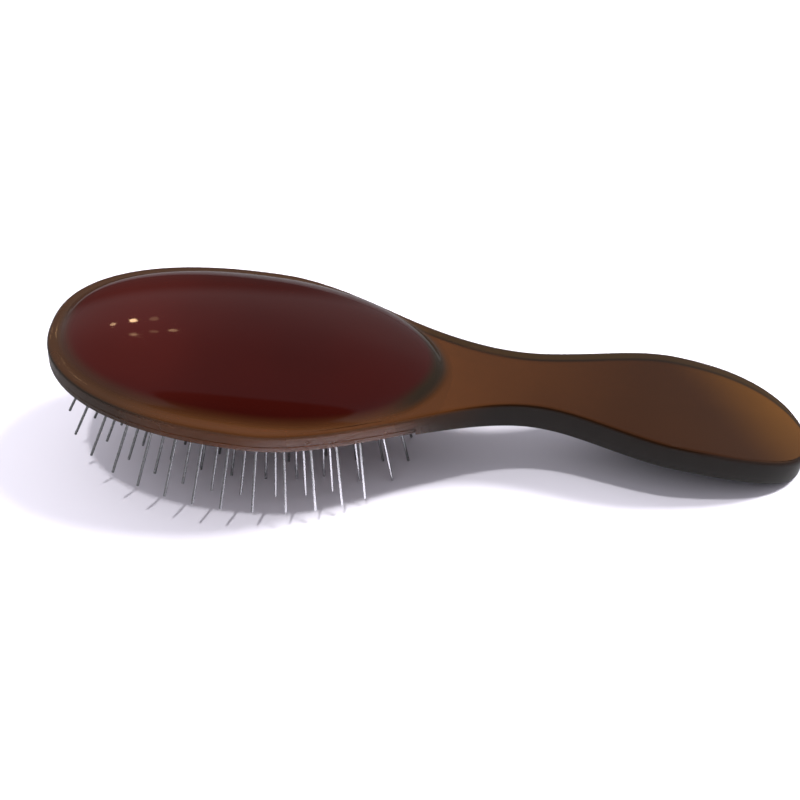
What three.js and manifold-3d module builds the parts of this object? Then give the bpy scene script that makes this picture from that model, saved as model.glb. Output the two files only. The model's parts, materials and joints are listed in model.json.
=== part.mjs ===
// Pet grooming brush: a domed oval head on a flat handle, with wire pins in a rubber cushion.
// It rests dome up, on its pin tips and on the end of its handle.
import * as THREE from 'three';
import { mergeVertices } from 'three/addons/utils/BufferGeometryUtils.js';
import Module from 'manifold-3d';

const wasm = await Module();
wasm.setup();

// ---------- driving sizes, mm ----------
// Outline seen from above: nose, widest place of the head, waist, widest place of the grip, end.
const HEAD_NOSE = 59.5;
const HEAD_TAIL = 76;
const GRIP_SWELL = 43;
const GRIP_END = 39.5;
const HEAD_HALF = 33.1;
const HEAD_ROUND = 2.3;
const NECK_HALF = 11.0;
const GRIP_HALF = 18.7;
const GRIP_ROUND = 2.4;

// Side view: the handle lifts a little past the head, then falls toward its end.
const CURVE_START = 39.5;
const LIFT = 3.4;
const LIFT_RUN = 53;
const DROP = 10.5;
const DROP_POWER = 5;

// Thickness and edges.
const HEAD_THICK = 6.6;
const GRIP_THICK = 8.8;
const THICKEN_START = 48.3;
const THICKEN_RUN = 43.6;
const TOP_EDGE = 1.2;
const BOTTOM_EDGE = 0.8;

// Dome over the head.
const DOME_HEIGHT = 9.5;
const LEDGE = 3.6;
const DOME_SETBACK = 2.8;
const DOME_TAPER = 0.54;
const DOME_FULL = 2.2;
const DOME_SHOULDER = 0.6;
const SHELL_WALL = 2.4;
const LEDGE_THICK = 1.8;
const CAVITY_INSET = 3.8;

// Frame ring under the head.
const RING_HEIGHT = 2.2;
const RING_SETBACK = 21.5;
const RING_FULLNESS = 1.7;
const RING_BLEND = 1.5;
const RABBET_INSET = 2.6;
const LIP_INSET = 4.4;
const FIT_GAP = 0.3;

// Rubber cushion, as thick as the ring is high, and its cloth backing.
const FLANGE_THICK = 0.9;
const PAD_THICK = RING_HEIGHT;
const CUSHION_RISE = 6.5;
const CLOTH_THICK = 0.8;
const CLOTH_MARGIN = 3.2;

// Wire pins: bent in pairs into U-shaped staples.
const PIN_LENGTH = 29.6;
const PIN_DIAMETER = 0.75;
const PIN_SIDES = 6;
const PAD_HOLE_GAP = 0.06;
const CLOTH_HOLE_GAP = 0.3;
const PAD_HOLE_SIDES = 6;
const CLOTH_HOLE_SIDES = 4;
const CROWN_BEND = 0.9;
const CROWN_GAP = 0.5;
const PIN_LEAN_DEG = -2.3;
const PIN_FAN = 1.7;
const RING_STAPLES = [15, 12, 9, 6];
const PIN_SIDE_INSET = 4.6;
const PIN_END_INSET = 9.4;
const PIN_FIELD_SHIFT = -1.6;
const PIN_RING_PITCH = 6.0;

// Mesh fineness.
const SIDE_STATIONS = 42;
const OVAL_POINTS = 48;
const EDGE_STEPS = 3;
const DOME_RINGS = 7;
const PAD_RINGS = 5;
const CLOTH_RINGS = 4;
const BEND_STEPS = 2;
const ELLIPSE_STEPS = 720;
const SLOPE_STEP = 0.5;
const CUT_PAST = 4;
const TILT_STEPS = 40;
const MOST_TILT = Math.PI / 6;

// ---------- derived sizes ----------
const HEAD_X = HEAD_NOSE;
const NECK_X = HEAD_X + HEAD_TAIL;
const GRIP_X = NECK_X + GRIP_SWELL;
const LENGTH = GRIP_X + GRIP_END;
const CURVE_START_X = NECK_X - CURVE_START;
const THICKEN_START_X = NECK_X - THICKEN_START;
const RING_END_X = NECK_X - RING_SETBACK;
const RING_CLOSE_HALF = HEAD_HALF + RING_FULLNESS;
const DOME_END_X = RING_END_X - DOME_SETBACK;
const RING_TOP = -(HEAD_THICK - RING_HEIGHT);
const RING_BOTTOM = -HEAD_THICK;
const SHELL_FLOOR = RING_TOP + FIT_GAP;
const LIP_TOP = RING_TOP - FLANGE_THICK - FIT_GAP;
const PIN_RADIUS = PIN_DIAMETER / 2;
const OVAL_CENTRE_X = RING_END_X / 2;
const PIN_FIELD_X = OVAL_CENTRE_X + PIN_FIELD_SHIFT;
const CLOTH_GAP = FIT_GAP / 2;
const CROWN_DEPTH = PAD_THICK + CLOTH_GAP + CLOTH_THICK + CROWN_GAP + PIN_RADIUS;

const COLOURS = {
  body: 0x4a2a1c,
  ring: 0x4f2e1b,
  rubber: 0x4a1712,
  cloth: 0x3d1a17,
  steel: 0xb9bcc2,
};

// ---------- small maths ----------
function smoothStep(t) {
  const s = Math.min(Math.max(t, 0), 1);
  return s * s * (3 - 2 * s);
}

function smoothMin(a, b, width) {
  const h = Math.min(Math.max(0.5 + 0.5 * (b - a) / width, 0), 1);
  return b + (a - b) * h - width * h * (1 - h);
}

function superQuarter(t, power) {
  return Math.pow(Math.max(1 - Math.pow(t, power), 0), 1 / power);
}

// ---------- outline and side view of the body ----------
function halfWidth(x) {
  if (x < HEAD_X) return HEAD_HALF * superQuarter((HEAD_X - x) / HEAD_NOSE, HEAD_ROUND);
  if (x < NECK_X) {
    return HEAD_HALF + (NECK_HALF - HEAD_HALF) * smoothStep((x - HEAD_X) / HEAD_TAIL);
  }
  if (x < GRIP_X) {
    return NECK_HALF + (GRIP_HALF - NECK_HALF) * smoothStep((x - NECK_X) / GRIP_SWELL);
  }
  return GRIP_HALF * superQuarter((x - GRIP_X) / GRIP_END, GRIP_ROUND);
}

function topHeight(x) {
  const along = Math.min(Math.max((x - CURVE_START_X) / (LENGTH - CURVE_START_X), 0), 1);
  const lift = LIFT * smoothStep((x - CURVE_START_X) / LIFT_RUN);
  return lift - DROP * Math.pow(along, DROP_POWER);
}

function thickness(x) {
  const share = smoothStep((x - THICKEN_START_X) / THICKEN_RUN);
  return HEAD_THICK + (GRIP_THICK - HEAD_THICK) * share;
}

// One side of the outline from nose to end, close together where it turns.
function bodySide() {
  const side = [];
  for (let i = 0; i <= SIDE_STATIONS; i += 1) {
    const x = LENGTH * (1 - Math.cos(Math.PI * i / SIDE_STATIONS)) / 2;
    side.push([x, i === 0 || i === SIDE_STATIONS ? 0 : halfWidth(x)]);
  }
  return side;
}

// Closed loop, anticlockwise from the nose, from one side and its mirror image.
function loopFromSide(side) {
  const near = side.map(([x, y]) => [x, -y]);
  const far = side.slice(1, -1).reverse();
  return near.concat(far);
}

// Loop moved inward along its own normals.
function insetLoop(loop, inset) {
  const count = loop.length;
  return loop.map(([x, y], i) => {
    const [ax, ay] = loop[(i + count - 1) % count];
    const [bx, by] = loop[(i + 1) % count];
    const length = Math.hypot(bx - ax, by - ay);
    return [x - inset * (by - ay) / length, y + inset * (bx - ax) / length];
  });
}

// ---------- mesh helpers ----------
function geometryFrom(positions, triangles) {
  const geometry = new THREE.BufferGeometry();
  geometry.setAttribute('position', new THREE.Float32BufferAttribute(positions.flat(), 3));
  geometry.setIndex(triangles.flat());
  return geometry;
}

// Wall triangles between successive loops of the same length.
function wallTriangles(loopCount, points) {
  const triangles = [];
  for (let k = 0; k + 1 < loopCount; k += 1) {
    for (let i = 0; i < points; i += 1) {
      const j = (i + 1) % points;
      const a = k * points + i;
      const b = k * points + j;
      triangles.push([a, b, a + points], [b, b + points, a + points]);
    }
  }
  return triangles;
}

// Cap that ties each point of one side to its mirror image on the other.
function ladderTriangles(start, points, flip) {
  const triangles = [];
  const add = (a, b, c) => triangles.push(flip ? [a, c, b] : [a, b, c]);
  const half = points / 2;
  for (let i = 0; i < half; i += 1) {
    const a = start + i;
    const b = start + i + 1;
    const c = start + (points - i - 1) % points;
    const d = start + (points - i) % points;
    if (i === 0) add(a, b, c);
    else if (i === half - 1) add(a, b, d);
    else {
      add(a, b, c);
      add(a, c, d);
    }
  }
  return triangles;
}

// Solid from loops listed bottom first, each [x, y, z] point in the same order.
function solidFromLoops(loops) {
  const points = loops[0].length;
  const last = (loops.length - 1) * points;
  const triangles = wallTriangles(loops.length, points);
  triangles.push(...ladderTriangles(0, points, true));
  triangles.push(...ladderTriangles(last, points, false));
  return geometryFrom(loops.flat(), triangles);
}

function flatLoop(loop, z) {
  return loop.map(([x, y]) => [x, y, z]);
}

function prism(loop, zBottom, zTop) {
  const shape = new THREE.Shape(loop.map(([x, y]) => new THREE.Vector2(x, y)));
  const geometry = new THREE.ExtrudeGeometry(shape, { depth: zTop - zBottom, bevelEnabled: false });
  return geometry.translate(0, 0, zBottom);
}

function toManifold(geometry) {
  const bare = new THREE.BufferGeometry();
  bare.setAttribute('position', geometry.getAttribute('position').clone());
  if (geometry.getIndex()) bare.setIndex(geometry.getIndex().clone());
  const merged = mergeVertices(bare, 1e-5);
  const mesh = new wasm.Mesh({
    numProp: 3,
    vertProperties: new Float32Array(merged.getAttribute('position').array),
    triVerts: new Uint32Array(merged.getIndex().array),
  });
  return new wasm.Manifold(mesh);
}

function toGeometry(manifold) {
  const mesh = manifold.getMesh();
  const geometry = new THREE.BufferGeometry();
  geometry.setAttribute('position', new THREE.BufferAttribute(mesh.vertProperties, 3));
  geometry.setIndex(new THREE.BufferAttribute(mesh.triVerts, 1));
  return geometry;
}

function material(color, roughness, metalness) {
  return new THREE.MeshStandardMaterial({ color, roughness, metalness });
}

function named(name, geometry, look) {
  const mesh = new THREE.Mesh(geometry, look);
  mesh.name = name;
  return mesh;
}

// ---------- ovals of the head ----------
// Outer oval of the frame ring: flush with the body until it closes across the neck.
function ringHalf(x) {
  if (x <= HEAD_X) return halfWidth(x);
  const closing = RING_CLOSE_HALF * superQuarter((x - HEAD_X) / (RING_END_X - HEAD_X), 2);
  return Math.max(smoothMin(halfWidth(x), closing, RING_BLEND), 0);
}

function domeHalf(x) {
  const half = HEAD_HALF - LEDGE;
  if (x <= HEAD_X) return half * superQuarter((HEAD_X - x) / (HEAD_NOSE - LEDGE), HEAD_ROUND);
  const t = (x - HEAD_X) / (DOME_END_X - HEAD_X);
  return half * Math.pow(Math.max(1 - t * t, 0), DOME_TAPER);
}

function ovalSide(half, startX, endX, count) {
  const side = [];
  for (let i = 0; i <= count; i += 1) {
    const x = startX + (endX - startX) * (1 - Math.cos(Math.PI * i / count)) / 2;
    side.push([x, i === 0 || i === count ? 0 : half(x)]);
  }
  return side;
}

const headOval = loopFromSide(ovalSide(ringHalf, 0, RING_END_X, OVAL_POINTS / 2));
const domeOval = loopFromSide(ovalSide(domeHalf, LEDGE, DOME_END_X, OVAL_POINTS / 2));
const padOval = insetLoop(headOval, LIP_INSET + FIT_GAP);

function scaledLoop(loop, centreX, scale) {
  return loop.map(([x, y]) => [centreX + (x - centreX) * scale, y * scale]);
}

// ---------- body ----------
function slab() {
  const outline = loopFromSide(bodySide());
  const loops = [];
  for (let k = 0; k <= EDGE_STEPS; k += 1) {
    const a = Math.PI / 2 * k / EDGE_STEPS;
    const loop = insetLoop(outline, BOTTOM_EDGE * (1 - Math.sin(a)));
    const up = BOTTOM_EDGE * (1 - Math.cos(a));
    loops.push(loop.map(([x, y], i) => {
      const station = outline[i][0];
      return [x, y, topHeight(station) - thickness(station) + up];
    }));
  }
  for (let k = 0; k <= EDGE_STEPS; k += 1) {
    const a = Math.PI / 2 * k / EDGE_STEPS;
    const loop = insetLoop(outline, TOP_EDGE * (1 - Math.cos(a)));
    const down = TOP_EDGE * (1 - Math.sin(a));
    loops.push(loop.map(([x, y], i) => [x, y, topHeight(outline[i][0]) - down]));
  }
  return solidFromLoops(loops);
}

function domeProfile(ratio) {
  return Math.pow(Math.max(1 - Math.pow(ratio, DOME_FULL), 0), DOME_SHOULDER);
}

// A dome on an oval base, standing on a short skirt that reaches down to zBottom.
function domeSolid(oval, centreX, height, zFoot, zBottom) {
  const loops = [flatLoop(oval, zBottom), flatLoop(oval, zFoot)];
  for (let k = 1; k < DOME_RINGS; k += 1) {
    const ratio = Math.cos(Math.PI / 2 * k / DOME_RINGS);
    const z = zFoot + height * domeProfile(ratio);
    loops.push(flatLoop(scaledLoop(oval, centreX, ratio), z));
  }
  return solidFromLoops(loops);
}

function bodyGeometry() {
  const below = RING_BOTTOM - CUT_PAST;
  const dome = domeSolid(domeOval, HEAD_X, DOME_HEIGHT, 0, -TOP_EDGE);
  const vaultOval = insetLoop(domeOval, SHELL_WALL);
  const vaultHeight = DOME_HEIGHT - SHELL_WALL + LEDGE_THICK;
  const vault = domeSolid(vaultOval, HEAD_X, vaultHeight, -LEDGE_THICK, below);
  const pocket = prism(insetLoop(headOval, CAVITY_INSET), below, -LEDGE_THICK);
  const recess = prism(insetLoop(headOval, -FIT_GAP), below, SHELL_FLOOR);
  return toGeometry(
    toManifold(slab())
      .add(toManifold(dome))
      .subtract(toManifold(recess))
      .subtract(toManifold(pocket))
      .subtract(toManifold(vault)),
  );
}

// ---------- frame ring ----------
function ringGeometry() {
  const loops = [];
  for (let k = 0; k <= EDGE_STEPS; k += 1) {
    const a = Math.PI / 2 * k / EDGE_STEPS;
    const loop = insetLoop(headOval, BOTTOM_EDGE * (1 - Math.sin(a)));
    loops.push(flatLoop(loop, RING_BOTTOM + BOTTOM_EDGE * (1 - Math.cos(a))));
  }
  loops.push(flatLoop(headOval, RING_TOP));
  const opening = prism(insetLoop(headOval, LIP_INSET), RING_BOTTOM - CUT_PAST, RING_TOP + CUT_PAST);
  const rabbet = prism(insetLoop(headOval, RABBET_INSET), LIP_TOP, RING_TOP + CUT_PAST);
  return toGeometry(
    toManifold(solidFromLoops(loops)).subtract(toManifold(opening)).subtract(toManifold(rabbet)),
  );
}

// ---------- cushion ----------
// How far out a point lies between the middle of the cushion (0) and its edge (1).
function padRatio(x, y) {
  const angle = Math.atan2(y, x - OVAL_CENTRE_X);
  let best = 0;
  for (let i = 0; i < padOval.length; i += 1) {
    const [ax, ay] = padOval[i];
    const [bx, by] = padOval[(i + 1) % padOval.length];
    const dx = bx - ax;
    const dy = by - ay;
    const ux = Math.cos(angle);
    const uy = Math.sin(angle);
    const cross = ux * dy - uy * dx;
    const along = ((ax - OVAL_CENTRE_X) * dy - ay * dx) / cross;
    const share = ((ax - OVAL_CENTRE_X) * uy - ay * ux) / cross;
    if (along > 0 && share >= -1e-9 && share <= 1 + 1e-9) best = along;
  }
  return Math.hypot(x - OVAL_CENTRE_X, y) / best;
}

// Outer face of the rubber: a shallow bulge below the frame ring.
function padDepth(ratio) {
  return RING_BOTTOM - CUSHION_RISE * (1 - ratio * ratio);
}

function padLoops(bottom, top, edge) {
  const loops = [];
  for (let k = 1; k <= PAD_RINGS; k += 1) {
    const ratio = k / PAD_RINGS;
    loops.push(flatLoop(scaledLoop(padOval, OVAL_CENTRE_X, ratio), bottom(ratio)));
  }
  loops.push(...edge);
  for (let k = PAD_RINGS - 1; k >= 1; k -= 1) {
    const ratio = k / PAD_RINGS;
    loops.push(flatLoop(scaledLoop(padOval, OVAL_CENTRE_X, ratio), top(ratio)));
  }
  return loops;
}

function padGeometry(holes) {
  const flangeTop = RING_TOP;
  const flangeBottom = RING_TOP - FLANGE_THICK;
  const flangeOval = insetLoop(headOval, RABBET_INSET + FIT_GAP);
  const edge = [
    flatLoop(padOval, flangeBottom),
    flatLoop(flangeOval, flangeBottom),
    flatLoop(flangeOval, flangeTop),
    flatLoop(padOval, flangeTop),
  ];
  const back = (ratio) => Math.min(padDepth(ratio) + PAD_THICK, flangeTop);
  const blank = solidFromLoops(padLoops(padDepth, back, edge));
  return toGeometry(toManifold(blank).subtract(holes));
}

function clothGeometry(holes) {
  const clothOval = insetLoop(padOval, CLOTH_MARGIN);
  const loops = [];
  const level = (x, y) => padDepth(padRatio(x, y)) + PAD_THICK + CLOTH_GAP;
  const lift = (loop, up) => loop.map(([x, y]) => [x, y, level(x, y) + up]);
  for (let k = 1; k <= CLOTH_RINGS; k += 1) {
    loops.push(lift(scaledLoop(clothOval, OVAL_CENTRE_X, k / CLOTH_RINGS), 0));
  }
  for (let k = CLOTH_RINGS; k >= 1; k -= 1) {
    loops.push(lift(scaledLoop(clothOval, OVAL_CENTRE_X, k / CLOTH_RINGS), CLOTH_THICK));
  }
  return toGeometry(toManifold(solidFromLoops(loops)).subtract(holes));
}

// ---------- pins ----------
// Points spaced evenly along an ellipse round the middle of the pins.
function evenEllipse(halfX, halfY, count, phase) {
  const at = (k) => {
    const a = 2 * Math.PI * k / ELLIPSE_STEPS;
    return [PIN_FIELD_X - halfX * Math.cos(a), -halfY * Math.sin(a)];
  };
  const sums = [0];
  for (let k = 1; k <= ELLIPSE_STEPS; k += 1) {
    const [ax, ay] = at(k - 1);
    const [bx, by] = at(k);
    sums.push(sums[k - 1] + Math.hypot(bx - ax, by - ay));
  }
  const points = [];
  for (let i = 0; i < count; i += 1) {
    const goal = sums[ELLIPSE_STEPS] * (i + phase) / count;
    let k = 1;
    while (sums[k] < goal) k += 1;
    const share = (goal - sums[k - 1]) / (sums[k] - sums[k - 1]);
    points.push(at(k - 1 + share));
  }
  return points;
}

// Root on the rubber's outer face and the way the pin points.
function pinAt([x, y]) {
  const depth = (px, py) => padDepth(padRatio(px, py));
  const z = depth(x, y);
  const slopeX = (depth(x + SLOPE_STEP, y) - depth(x - SLOPE_STEP, y)) / (2 * SLOPE_STEP);
  const slopeY = (depth(x, y + SLOPE_STEP) - depth(x, y - SLOPE_STEP)) / (2 * SLOPE_STEP);
  const lean = Math.tan(THREE.MathUtils.degToRad(PIN_LEAN_DEG));
  const way = new THREE.Vector3(slopeX * PIN_FAN + lean, slopeY, -1).normalize();
  return { root: new THREE.Vector3(x, y, z), way };
}

function stapleRings() {
  const padHalfX = Math.max(...padOval.map(([x]) => x)) - OVAL_CENTRE_X;
  const padHalfY = Math.max(...padOval.map(([, y]) => y));
  return RING_STAPLES.map((staples, ring) => {
    const further = ring * PIN_RING_PITCH;
    const halfX = padHalfX - PIN_END_INSET - further;
    const halfY = padHalfY - PIN_SIDE_INSET - further;
    const points = evenEllipse(halfX, halfY, staples * 2, 0.5);
    const pairs = [];
    for (let k = 0; k < staples; k += 1) {
      pairs.push([pinAt(points[2 * k]), pinAt(points[2 * k + 1])]);
    }
    return pairs;
  });
}

function backPoint(pin, depth) {
  return pin.root.clone().addScaledVector(pin.way, -depth / Math.abs(pin.way.z));
}

function tipPoint(pin) {
  return pin.root.clone().addScaledVector(pin.way, PIN_LENGTH - CROWN_DEPTH);
}

// Tip, leg, bend, crown, bend, leg, tip.
function staplePath(left, right) {
  const a = backPoint(left, CROWN_DEPTH);
  const b = backPoint(right, CROWN_DEPTH);
  const along = b.clone().sub(a).normalize();
  const path = new THREE.CurvePath();
  const bends = [
    [a, left.way, along],
    [b, right.way, along.clone().negate()],
  ].map(([corner, way, inward]) => ({
    corner,
    leg: corner.clone().addScaledVector(way, CROWN_BEND),
    crown: corner.clone().addScaledVector(inward, CROWN_BEND),
  }));
  path.add(new THREE.LineCurve3(tipPoint(left), bends[0].leg));
  path.add(new THREE.QuadraticBezierCurve3(bends[0].leg, bends[0].corner, bends[0].crown));
  path.add(new THREE.LineCurve3(bends[0].crown, bends[1].crown));
  path.add(new THREE.QuadraticBezierCurve3(bends[1].crown, bends[1].corner, bends[1].leg));
  path.add(new THREE.LineCurve3(bends[1].leg, tipPoint(right)));
  return path;
}

// Path that goes from one listed point to the next, however far apart they are.
class PointPath extends THREE.Curve {
  constructor(points) {
    super();
    this.points = points;
  }

  getPoint(t) {
    const last = this.points.length - 1;
    const k = Math.min(Math.floor(t * last), last - 1);
    return this.points[k].clone().lerp(this.points[k + 1], t * last - k);
  }

  getUtoTmapping(u) {
    return u;
  }
}

// Round wire through the listed points, given as many flat sides as asked.
function wireGeometry(points, radius, sides) {
  const section = new THREE.Shape();
  const corners = [];
  for (let k = 0; k < sides; k += 1) {
    const a = 2 * Math.PI * k / sides;
    corners.push(new THREE.Vector2(radius * Math.cos(a), radius * Math.sin(a)));
  }
  section.setFromPoints(corners);
  return new THREE.ExtrudeGeometry(section, {
    steps: points.length - 1,
    extrudePath: new PointPath(points),
    bevelEnabled: false,
  });
}

function stapleGeometry(left, right) {
  const points = [];
  staplePath(left, right).curves.forEach((curve, i) => {
    const steps = i % 2 === 1 ? BEND_STEPS : 1;
    for (let k = i === 0 ? 0 : 1; k <= steps; k += 1) points.push(curve.getPoint(k / steps));
  });
  return wireGeometry(points, PIN_RADIUS, PIN_SIDES);
}

// Punches for the holes that all pins pass through, with the given clearance and sides.
function holePunches(pins, gap, sides) {
  const radius = (PIN_RADIUS + gap) / Math.cos(Math.PI / sides);
  const punches = pins.map((pin) => {
    const start = backPoint(pin, CROWN_DEPTH);
    const end = pin.root.clone().addScaledVector(pin.way, PIN_DIAMETER * 2);
    return toManifold(wireGeometry([start, end], radius, sides));
  });
  return punches.reduce((all, punch) => all.add(punch));
}

// ---------- assembly ----------
function buildBrush() {
  const brush = new THREE.Group();
  brush.name = 'brush';
  const rings = stapleRings();
  const pins = rings.flat(2);
  const padHoles = holePunches(pins, PAD_HOLE_GAP, PAD_HOLE_SIDES);
  const clothHoles = holePunches(pins, CLOTH_HOLE_GAP, CLOTH_HOLE_SIDES);
  brush.add(named('brush_body', bodyGeometry(), material(COLOURS.body, 0.16, 0)));
  brush.add(named('cushion_frame', ringGeometry(), material(COLOURS.ring, 0.18, 0)));
  brush.add(named('cushion_pad', padGeometry(padHoles), material(COLOURS.rubber, 0.6, 0)));
  brush.add(named('cushion_cloth', clothGeometry(clothHoles), material(COLOURS.cloth, 0.95, 0)));
  rings.forEach((pairs, ring) => {
    pairs.forEach(([left, right], k) => {
      const label = `pin_staple_${ring + 1}_${String(k + 1).padStart(2, '0')}`;
      brush.add(named(label, stapleGeometry(left, right), material(COLOURS.steel, 0.3, 1)));
    });
  });
  return brush;
}

// Turned about its width until pin tips and handle end stand on the same level.
function restingTilt(brush) {
  const spots = [];
  brush.traverse((node) => {
    if (!node.isMesh) return;
    const place = node.geometry.getAttribute('position');
    for (let i = 0; i < place.count; i += 1) {
      if (place.getZ(i) < RING_BOTTOM) spots.push([place.getX(i), place.getZ(i)]);
    }
  });
  const lowest = (tilt, from, to) => Math.min(...spots
    .filter(([x]) => x >= from && x <= to)
    .map(([x, z]) => z * Math.cos(tilt) - x * Math.sin(tilt)));
  let low = 0;
  let high = MOST_TILT;
  for (let i = 0; i < TILT_STEPS; i += 1) {
    const tilt = (low + high) / 2;
    if (lowest(tilt, 0, NECK_X) < lowest(tilt, NECK_X, LENGTH)) low = tilt;
    else high = tilt;
  }
  return { tilt: low, level: lowest(low, 0, LENGTH) };
}

const brush = buildBrush();
const { tilt, level } = restingTilt(brush);
brush.rotation.y = tilt;
brush.position.z = -level;
const part = new THREE.Group();
part.name = 'pin_brush';
part.add(brush);
part.updateMatrixWorld(true);
const extent = new THREE.Box3().setFromObject(part, true);
part.position.x = -(extent.min.x + extent.max.x) / 2;

export default part;
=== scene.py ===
"""Pet grooming brush: translucent brown body, cushion of red rubber, wire pins bent in pairs."""
import json
import math

import bpy
import numpy as np
from mathutils import Matrix, Vector


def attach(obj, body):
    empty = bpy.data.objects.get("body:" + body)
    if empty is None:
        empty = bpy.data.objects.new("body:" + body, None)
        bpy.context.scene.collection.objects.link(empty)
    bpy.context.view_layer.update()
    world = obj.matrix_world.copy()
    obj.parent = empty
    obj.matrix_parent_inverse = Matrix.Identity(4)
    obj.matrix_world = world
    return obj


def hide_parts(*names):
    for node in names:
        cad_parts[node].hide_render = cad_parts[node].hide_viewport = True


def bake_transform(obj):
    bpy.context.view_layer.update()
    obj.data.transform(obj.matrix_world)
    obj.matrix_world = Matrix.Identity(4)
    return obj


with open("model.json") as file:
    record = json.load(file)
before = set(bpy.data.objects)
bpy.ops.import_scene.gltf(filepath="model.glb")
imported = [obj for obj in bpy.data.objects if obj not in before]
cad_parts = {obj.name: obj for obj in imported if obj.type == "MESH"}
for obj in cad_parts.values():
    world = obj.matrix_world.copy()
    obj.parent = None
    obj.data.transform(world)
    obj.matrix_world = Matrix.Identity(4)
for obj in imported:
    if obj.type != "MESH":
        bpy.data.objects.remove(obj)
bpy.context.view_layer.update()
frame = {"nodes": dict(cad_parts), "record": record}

# ---------- sizes, metres ----------
# Outline from above.
HEAD_NOSE, HEAD_TAIL, GRIP_SWELL, GRIP_END = 0.0595, 0.076, 0.043, 0.0395
HEAD_HALF, NECK_HALF, GRIP_HALF = 0.0331, 0.0110, 0.0187
HEAD_ROUND, GRIP_ROUND = 2.3, 2.4
HEAD_X = HEAD_NOSE
NECK_X = HEAD_X + HEAD_TAIL
GRIP_X = NECK_X + GRIP_SWELL
LENGTH = GRIP_X + GRIP_END
# Side view.
CURVE_START_X = NECK_X - 0.0395
LIFT, LIFT_RUN = 0.0034, 0.053
DROP, DROP_POWER = 0.0105, 5
HEAD_THICK, GRIP_THICK = 0.0066, 0.0088
THICKEN_START_X = NECK_X - 0.0483
THICKEN_RUN = 0.0436
TOP_EDGE, BOTTOM_EDGE = 0.0012, 0.0008
# Ring that holds the cushion, and the gap it fits with.
RING_HEIGHT = 0.0022
RING_TOP, RING_BOTTOM = RING_HEIGHT - HEAD_THICK, -HEAD_THICK
RING_END_X = NECK_X - 0.0215
RING_CLOSE_HALF = HEAD_HALF + 0.0017
RING_BLEND = 0.0015
RABBET_INSET, LIP_INSET = 0.0026, 0.0044
FIT_GAP = 0.0003
FLANGE_THICK = 0.0009
LIP_TOP = RING_TOP - FLANGE_THICK - FIT_GAP
# Dome and the hollow under it.
DOME_HEIGHT, LEDGE = 0.0095, 0.0036
DOME_END_X = RING_END_X - 0.0028
DOME_TAPER, DOME_FULL, DOME_SHOULDER = 0.54, 2.2, 0.6
DOME_HALF = HEAD_HALF - LEDGE
FOOT_SOFT = 0.0020
SHELL_WALL, LEDGE_THICK, CAVITY_INSET = 0.0024, 0.0018, 0.0038
# Rubber cushion, cloth and wire pins.
PAD_THICK, CUSHION_RISE = RING_HEIGHT, 0.0065
CLOTH_THICK, CLOTH_MARGIN, CLOTH_GAP = 0.0008, 0.0032, FIT_GAP / 2
PIN_LENGTH, PIN_RADIUS = 0.0296, 0.000375
CROWN_DEPTH = PAD_THICK + CLOTH_GAP + CLOTH_THICK + 0.0005 + PIN_RADIUS
CROWN_BEND = 0.0009
PIN_LEAN, PIN_FAN = math.radians(-2.3), 1.7
RING_STAPLES = (15, 12, 9, 6)
PIN_SIDE_INSET, PIN_END_INSET, PIN_RING_PITCH = 0.0046, 0.0094, 0.0060
OVAL_CENTRE_X = RING_END_X / 2
PIN_FIELD_X = OVAL_CENTRE_X - 0.0016

# ---------- the brush's own directions, as it rests ----------
joints = {j["name"]: j for j in frame["record"]["behaviour"]["joints"]}
UP = Vector(joints["cushion_press"]["axis"]).normalized()
ALONG = Vector((UP.z, 0, -UP.x))
ACROSS = Vector((0, 1, 0))
AXES = np.array([ALONG, ACROSS, UP])
ring_points = np.array([v.co for v in frame["nodes"]["cushion_frame"].data.vertices])
ORIGIN = ALONG * float((ring_points @ AXES[0]).min())
ORIGIN += UP * (float((ring_points @ AXES[2]).max()) - RING_TOP)


def to_row(points):
    """Points along, across and up the brush, as places in the shared frame."""
    return np.asarray(points, float).reshape(-1, 3) @ AXES + np.array(ORIGIN)


def turned(v):
    """A direction along, across and up the brush, in the shared frame."""
    return ALONG * v[0] + ACROSS * v[1] + UP * v[2]


# ---------- outlines ----------
def smooth_step(t):
    s = np.clip(t, 0, 1)
    return s * s * (3 - 2 * s)


def super_quarter(t, power):
    return np.maximum(1 - np.abs(t) ** power, 0) ** (1 / power)


def half_width(x):
    x = np.asarray(x, float)
    nose = HEAD_HALF * super_quarter(np.clip((HEAD_X - x) / HEAD_NOSE, 0, 1), HEAD_ROUND)
    neck = HEAD_HALF + (NECK_HALF - HEAD_HALF) * smooth_step((x - HEAD_X) / HEAD_TAIL)
    grip = NECK_HALF + (GRIP_HALF - NECK_HALF) * smooth_step((x - NECK_X) / GRIP_SWELL)
    end = GRIP_HALF * super_quarter(np.clip((x - GRIP_X) / GRIP_END, 0, 1), GRIP_ROUND)
    return np.select([x < HEAD_X, x < NECK_X, x < GRIP_X], [nose, neck, grip], end)


def top_height(x):
    along = np.clip((x - CURVE_START_X) / (LENGTH - CURVE_START_X), 0, 1)
    return LIFT * smooth_step((x - CURVE_START_X) / LIFT_RUN) - DROP * along**DROP_POWER


def thickness(x):
    return HEAD_THICK + (GRIP_THICK - HEAD_THICK) * smooth_step((x - THICKEN_START_X) / THICKEN_RUN)


def ring_half(x):
    body = half_width(x)
    reach = np.clip((x - HEAD_X) / (RING_END_X - HEAD_X), 0, 1)
    closing = RING_CLOSE_HALF * super_quarter(reach, 2)
    h = np.clip(0.5 + 0.5 * (closing - body) / RING_BLEND, 0, 1)
    blended = closing + (body - closing) * h - RING_BLEND * h * (1 - h)
    return np.where(x <= HEAD_X, body, np.maximum(blended, 0))


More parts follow.
